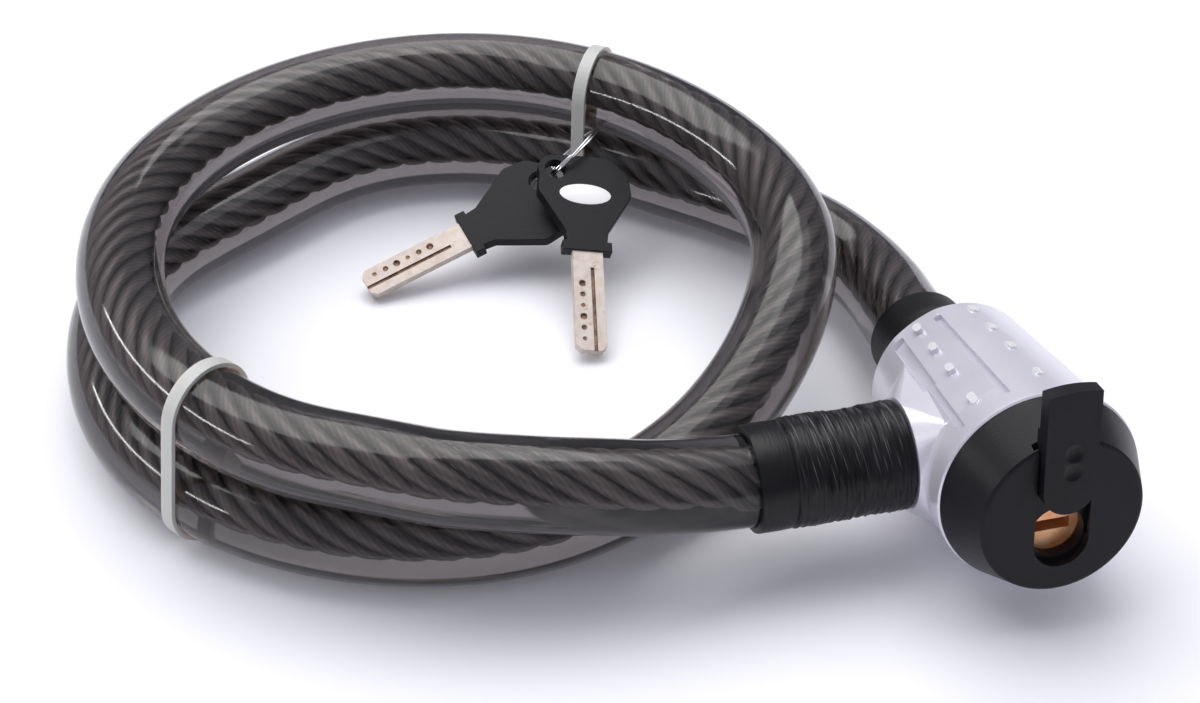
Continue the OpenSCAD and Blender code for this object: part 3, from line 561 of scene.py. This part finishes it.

# The dots' faces stand above the tapered skin on the barrel's upper side, short
# of the end cap. They get a near-white painted highlight, for the glint they catch.
FRONT_R, BARREL_FORE = 0.0243, 0.023
DOTS_ABOVE, CAP_MARGIN, PROUD_BY = 0.0152, 0.004, 0.00004
for face in barrel.data.polygons:
    off = face.center - HEAD
    up = off.y * math.sin(PITCH) + off.z * math.cos(PITCH)
    fore = -off.y * math.cos(PITCH) + off.z * math.sin(PITCH)
    skin = REAR_R + (FRONT_R - REAR_R) * (fore + BARREL_AFT) / (BARREL_FORE + BARREL_AFT)
    on_top = up > DOTS_ABOVE and fore < BARREL_FORE - CAP_MARGIN
    if on_top and math.hypot(off.x, up) > skin + PROUD_BY:
        face.material_index = 1

# End cap and shutter.
# Moulded black plastic. The cap is pressed on the front of the barrel, and the
# shutter slides in the cap's slot.
black = Finish("black_plastic", ior=1.5, specular_ior_level=0.2)
tooth = black.noise(black.place(), 1900.0, 2.0)
cloud = black.noise(black.place(), 70.0, 3.0)
black.feed("Base Color", black.ramp(cloud, (0.3, (0.005, 0.005, 0.007, 1)),
                                    (0.7, (0.010, 0.010, 0.013, 1))))
black.feed("Roughness", cloud * 0.15 + 0.30)
black.bump(tooth, 0.25, 0.0002)
cap = eased_copy("end_cap", "cap", 0.0003, "lock")
shutter = eased_copy("shutter", "dust_shutter", 0.0003, "shutter", sharp=50, dissolve=False)
black.wear(cap, shutter)

# Key cylinder.
# Turned brass body and core with a flat keyway. The hidden pins, bolt, spring,
# bush and ferrules round about are plain steel.
brass = Finish("turned_brass", metallic=0.55, ior=1.5)
cloud = brass.noise(brass.place(), 300.0, 3.0)
brass.feed("Base Color", brass.ramp(cloud, (0.3, (0.86, 0.38, 0.16, 1)), (0.7, (1.0, 0.60, 0.34, 1))))
brass.feed("Roughness", cloud * 0.2 + 0.25)
brass.wear(nodes["cylinder_body"], nodes["key_core"])
steel = Finish("plain_steel", metallic=0.9, ior=1.5)
cloud = steel.noise(steel.place(), 500.0, 3.0)
steel.feed("Base Color", steel.ramp(cloud, (0.3, (0.50, 0.50, 0.51, 1)), (0.7, (0.68, 0.68, 0.70, 1))))
steel.feed("Roughness", cloud * 0.2 + 0.2)
for hidden in ("shutter_spring", "core_clip", "driver_pins", "cylinder_pin", "lock_bolt",
               "socket_bush", "rear_ferrule", "anchor_pin", "plug_pin", "plug_ferrule"):
    steel.wear(nodes[hidden])

# Rear boot.
# Soft black rubber, moulded in a bell shape. It is pushed on over the rear
# ferrule and keeps the cable from kinking at the barrel.
rubber = Finish("soft_black_rubber", ior=1.5, specular_ior_level=0.15)
cloud = rubber.noise(rubber.place(), 120.0, 3.0)
rubber.feed("Base Color", rubber.ramp(cloud, (0.3, (0.004, 0.004, 0.005, 1)),
                                      (0.7, (0.009, 0.009, 0.010, 1))))
rubber.feed("Roughness", cloud * 0.2 + 0.38)
rubber.bump(rubber.noise(rubber.place(), 800.0, 3.0), 0.3, 0.0003)
boot = eased_copy("rear_boot", "boot", 0.0002, "lock")
rubber.wear(boot)

# Plug sleeve.
# Soft black tube shrunk over the ferrule, smooth at its collar and crinkled
# into fine rings where it grips. The plug pulls out of the barrel with it.
SLEEVE_FROM, SLEEVE_TO, COLLAR, COLLAR_LIP = -0.0252, -0.0619, 0.0080, 0.0012
SLEEVE_R, COLLAR_R = 0.0130, 0.0127
CABLE_BORE_R, FERRULE_BORE_R, BORE_STEP = 0.01112, 0.00912, 0.0319
SLEEVE_SIDES, SLEEVE_RINGS = 112, 150
EDGE_ROUND = 0.0004


def turned(name, profile, sides):
    """A closed shape turned round Z, drawn up ring by ring from a circle."""
    bpy.ops.object.select_all(action="DESELECT")
    (r, z) = profile[0]
    bpy.ops.mesh.primitive_circle_add(vertices=sides, radius=r, location=(0, 0, 0))
    piece = bpy.context.object
    piece.name = name
    piece.data.transform(Matrix.Translation((0, 0, z)))
    bpy.ops.object.mode_set(mode="EDIT")
    bpy.ops.mesh.select_all(action="SELECT")
    for r1, z1 in profile[1:] + profile[:1]:
        bpy.ops.mesh.extrude_edges_move(TRANSFORM_OT_translate={"value": (0, 0, z1 - z)})
        bpy.ops.transform.resize(value=(r1 / r, r1 / r, 1), center_override=(0, 0, z1))
        r, z = r1, z1
    bpy.ops.mesh.select_all(action="SELECT")
    bpy.ops.mesh.remove_doubles(threshold=0.000002)
    bpy.ops.mesh.normals_make_consistent(inside=False)
    bpy.ops.object.mode_set(mode="OBJECT")
    bpy.ops.object.shade_smooth_by_angle(angle=math.radians(50))
    return piece


crinkled = SLEEVE_FROM - SLEEVE_TO - COLLAR - COLLAR_LIP
collared = crinkled + COLLAR
front_edge = [(SLEEVE_R - 0.0006, 0.0), (SLEEVE_R - 0.0002, 0.0001), (SLEEVE_R, EDGE_ROUND)]
ringed = [(SLEEVE_R, EDGE_ROUND + (crinkled - EDGE_ROUND) * k / SLEEVE_RINGS)
          for k in range(1, SLEEVE_RINGS + 1)]
collar = [(COLLAR_R - 0.0003, crinkled + 0.0005), (COLLAR_R, crinkled + COLLAR_LIP),
          (COLLAR_R + 0.0001, crinkled + 0.004), (COLLAR_R, collared + 0.0006),
          (COLLAR_R - 0.0002, collared + 0.0011), (COLLAR_R - 0.0006, collared + COLLAR_LIP)]
bore = [(CABLE_BORE_R, collared + COLLAR_LIP), (CABLE_BORE_R, BORE_STEP),
        (FERRULE_BORE_R, BORE_STEP), (FERRULE_BORE_R, 0.0)]
sleeve = turned("sleeve", front_edge + ringed + collar + bore, SLEEVE_SIDES)

# The crinkles: broken rings, finer folds and a slow slackness, which all die
# out toward the sleeve's edge and its collar.
OUTSIDE_R, RINGS_FROM, RINGS_TO, FADE = 0.0114, 0.0005, crinkled + 0.0003, 0.001
RING_DEPTH, FOLD_DEPTH = 0.00030, 0.00022
for vert in sleeve.data.vertices:
    x, y, z = vert.co
    r = math.hypot(x, y)
    if r > OUTSIDE_R and RINGS_FROM < z < RINGS_TO:
        turn = math.atan2(y, x)
        place = Vector((math.cos(turn) * 1.1, math.sin(turn) * 1.1, 0))
        ring = 0.9 - 2.6 * abs(noise.noise(place * 0.9 + Vector((0, 0, z * 620))))
        fold = noise.noise(place * 2.6 + Vector((7, 0, z * 1900)))
        slack = noise.noise(place * 0.8 + Vector((0, 3, z * 200)))
        fade = min(1, (z - RINGS_FROM) / FADE) * min(1, (RINGS_TO - z) / FADE)
        grow = (RING_DEPTH * ring + FOLD_DEPTH * fold + FOLD_DEPTH * slack - FOLD_DEPTH) * fade
        vert.co = (x * (r + grow) / r, y * (r + grow) / r, z)
along_the_plug = Matrix.Rotation(-math.pi / 2, 4, "Y")
sleeve.data.transform(Matrix.Translation(barrel_point(SLEEVE_FROM, 0, 0)) @ along_the_plug)
shrunk = Finish("shrunk_black_sleeve", ior=1.5, specular_ior_level=0.25)
cloud = shrunk.noise(shrunk.place(), 90.0, 3.0)
shrunk.feed("Roughness", cloud * 0.2 + 0.22)
x, y, z = shrunk.parts(shrunk.place())
crease = shrunk.noise(shrunk.joined(x * 2600.0, y * 160.0, z * 160.0), 1.0, 3.0)
shrunk.bump(crease, 0.5, 0.0004)
# Painted highlights: thin light lines across the crinkled part, shown only on its upper side and fading
# out toward the bottom.
highlight_line_noise = shrunk.noise(shrunk.joined(x * 4800.0 + z * 900.0, y * 90.0, z * 90.0), 1.0, 1.0)
top_highlight_lines = shrunk.ramp(highlight_line_noise, (0.62, (0, 0, 0, 1)), (0.74, (1, 1, 1, 1)))
upper = shrunk.ramp((z - HEAD.z) * 60.0, (0.25, (0.10, 0.10, 0.10, 1)), (0.70, (1, 1, 1, 1)))
wound = shrunk.math("GREATER_THAN", x, HEAD.x + SLEEVE_TO + COLLAR)
plain = shrunk.ramp(cloud, (0.3, (0.003, 0.003, 0.004, 1)), (0.7, (0.008, 0.008, 0.010, 1)))
shrunk.feed("Base Color", shrunk.mix("MIX", top_highlight_lines * upper * wound * 0.45, plain, (0.42, 0.42, 0.44, 1)))
shrunk.wear(sleeve)
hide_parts("plug_sleeve")
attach(sleeve, "plug")

# Key bows.
# Black plastic moulded over the shank. The front key has a plain white oval set
# into both faces, and the rear key has one on its underside.
BOW_EDGE = 0.0006
bow_a = eased_copy("key_a_bow", "key_bow_front", BOW_EDGE, "key_a", segments=3)
bow_b = eased_copy("key_b_bow", "key_bow_rear", BOW_EDGE, "key_b", segments=3)
black.wear(bow_a, bow_b)


def key_place(at, turn, tilt, roll):
    """A key's own frame, from the top of its bow: its place in millimetres and its turns in degrees."""
    return (Matrix.Translation(mm(*at)) @ Matrix.Rotation(math.radians(turn), 4, "Z")
            @ Matrix.Rotation(math.radians(tilt), 4, "X") @ Matrix.Rotation(math.radians(roll), 4, "Y"))


KEY_PLACES = {"a": key_place((44.92, 41.74, 26.58), -11.55, 22.89, 11.62),
              "b": key_place((39.04, 40.03, 19.38), -79.65, 15.36, 22.01)}
OVALS = (("a", 1, "top"), ("a", -1, "under"), ("b", -1, "under"))
BOW_T, OVAL_Y, OVAL_SUNK = 0.0034, -0.0125, 0.00005
OVAL_HALVES = (0.0073, 0.0033, 0.00028)
enamel = Finish("white_enamel", roughness=0.25, ior=1.5, coat_weight=0.5, coat_roughness=0.08)
mottle = enamel.noise(enamel.place(), 500.0, 2.0)
enamel.feed("Base Color", enamel.ramp(mottle, (0.0, (0.86, 0.86, 0.87, 1)), (1.0, (0.92, 0.92, 0.93, 1))))
for key, face, side in OVALS:
    bpy.ops.object.select_all(action="DESELECT")
    bpy.ops.mesh.primitive_uv_sphere_add(segments=48, ring_count=24, radius=1)
    oval = bpy.context.object
    oval.name = f"key_oval_{key}_{side}"
    bpy.ops.object.mode_set(mode="EDIT")
    bpy.ops.mesh.select_all(action="SELECT")
    bpy.ops.mesh.bisect(plane_co=(0, 0, 0), plane_no=(0, 0, face), clear_inner=True, use_fill=True)
    bpy.ops.object.mode_set(mode="OBJECT")
    on_face = Matrix.Translation((0, OVAL_Y, face * (BOW_T / 2 - OVAL_SUNK)))
    oval.data.transform(KEY_PLACES[key] @ on_face @ Matrix.Diagonal((*OVAL_HALVES, 1)))
    bpy.ops.object.shade_smooth_by_angle(angle=math.radians(50))
    enamel.wear(oval)
    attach(oval, f"key_{key}")

# Key blades.
# Flat nickel-plated blades with a milled channel and a row of drilled dimples
# on each face. The cuts are painted dark brown as painted shade.
blade_metal = Finish("key_blade_nickel", metallic=0.35, ior=1.5, specular_ior_level=0.3)
cloud = blade_metal.noise(blade_metal.place(), 400.0, 3.0)
scratch = blade_metal.noise(blade_metal.place(), 2500.0, 2.0)
rust = blade_metal.ramp(blade_metal.noise(blade_metal.place(), 330.0, 4.0, 0.7),
                        (0.62, (0, 0, 0, 1)), (0.70, (1, 1, 1, 1)))
worn = blade_metal.ramp(cloud * 0.8 + scratch * 0.2, (0.3, (0.50, 0.42, 0.37, 1)),
                        (0.6, (0.64, 0.57, 0.52, 1)))
blade_metal.feed("Base Color", blade_metal.mix("MIX", rust * 0.7, worn, (0.34, 0.15, 0.06, 1)))
blade_metal.feed("Roughness", cloud * 0.2 + 0.40)
cut_shade = Finish("painted_shade_in_cuts", metallic=0.3, ior=1.5)
cloud = cut_shade.noise(cut_shade.place(), 700.0, 3.0)
cut_shade.feed("Base Color", cut_shade.ramp(cloud, (0.35, (0.10, 0.06, 0.045, 1)), (0.65, (0.36, 0.22, 0.14, 1))))
cut_shade.feed("Roughness", cloud * 0.2 + 0.45)

# A face belongs to a cut where it lies under the blade's flat, clear of its
# edges and its tip. The cuts get the dark brown painted shade.
BLADE_T, BLADE_W, BLADE_TIP_Y = 0.0023, 0.0084, -0.0600
CUT_UNDER, EDGE_MARGIN = 0.00012, 0.0006
for key, place in KEY_PLACES.items():
    blade = eased_copy(f"key_{key}_blade", f"key_blade_{key}", 0.00008, f"key_{key}", segments=1)
    blade_metal.wear(blade)
    blade.data.materials.append(cut_shade.material)
    back = place.inverted()
    for face in blade.data.polygons:
        at = back @ face.center
        inside = abs(at.x) < BLADE_W / 2 - EDGE_MARGIN and at.y > BLADE_TIP_Y
        if inside and abs(at.z) < BLADE_T / 2 - CUT_UNDER:
            face.material_index = 1

# Split ring.
# Two close turns of plated spring wire, through both eyelets and round the back
# tie. The wire crosses from the lower turn to the upper one halfway along.
RING_AT, RING_R, RING_START = mm(42.02, 47.23, 24.42), 0.0109, 2.4
WIRE_R, WIRE_WIDE, WIRE_HIGH, WIRE_SIDES = 0.00042, 1.25, 0.85, 12
HALF_APART, WIRE_STEPS, CROSSING = 0.00036, 192, 8
ring_turn = Matrix.Rotation(math.radians(139.44), 3, "Z") @ Matrix.Rotation(math.radians(49.4), 3, "Y")
chrome = Finish("plated_spring_wire", metallic=1.0, ior=1.5)
cloud = chrome.noise(chrome.place(), 600.0, 3.0)
chrome.feed("Base Color", chrome.ramp(cloud, (0.3, (0.70, 0.70, 0.72, 1)), (0.7, (0.86, 0.86, 0.88, 1))))
chrome.feed("Roughness", cloud * 0.12 + 0.12)
wire_path, wire_rows = [], []
for k in range(WIRE_STEPS + 1):
    turn = math.tau * 2 * k / WIRE_STEPS + RING_START
    rise = HALF_APART * min(max((k - WIRE_STEPS / 2) / CROSSING, -1), 1)
    p = RING_AT + ring_turn @ Vector((RING_R * math.cos(turn), RING_R * math.sin(turn), rise))
    wire_path.append(p)
    wire_rows.append((p, (p - RING_AT).normalized() * WIRE_WIDE, ring_turn @ Vector((0, 0, WIRE_HIGH))))
split_ring = swept("split_ring", ((wire_rows, WIRE_R),), lengths_along(wire_path), WIRE_SIDES,
                   closed_start=True, closed_end=True)
chrome.wear(split_ring)
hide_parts("key_ring")
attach(split_ring, "key_ring")
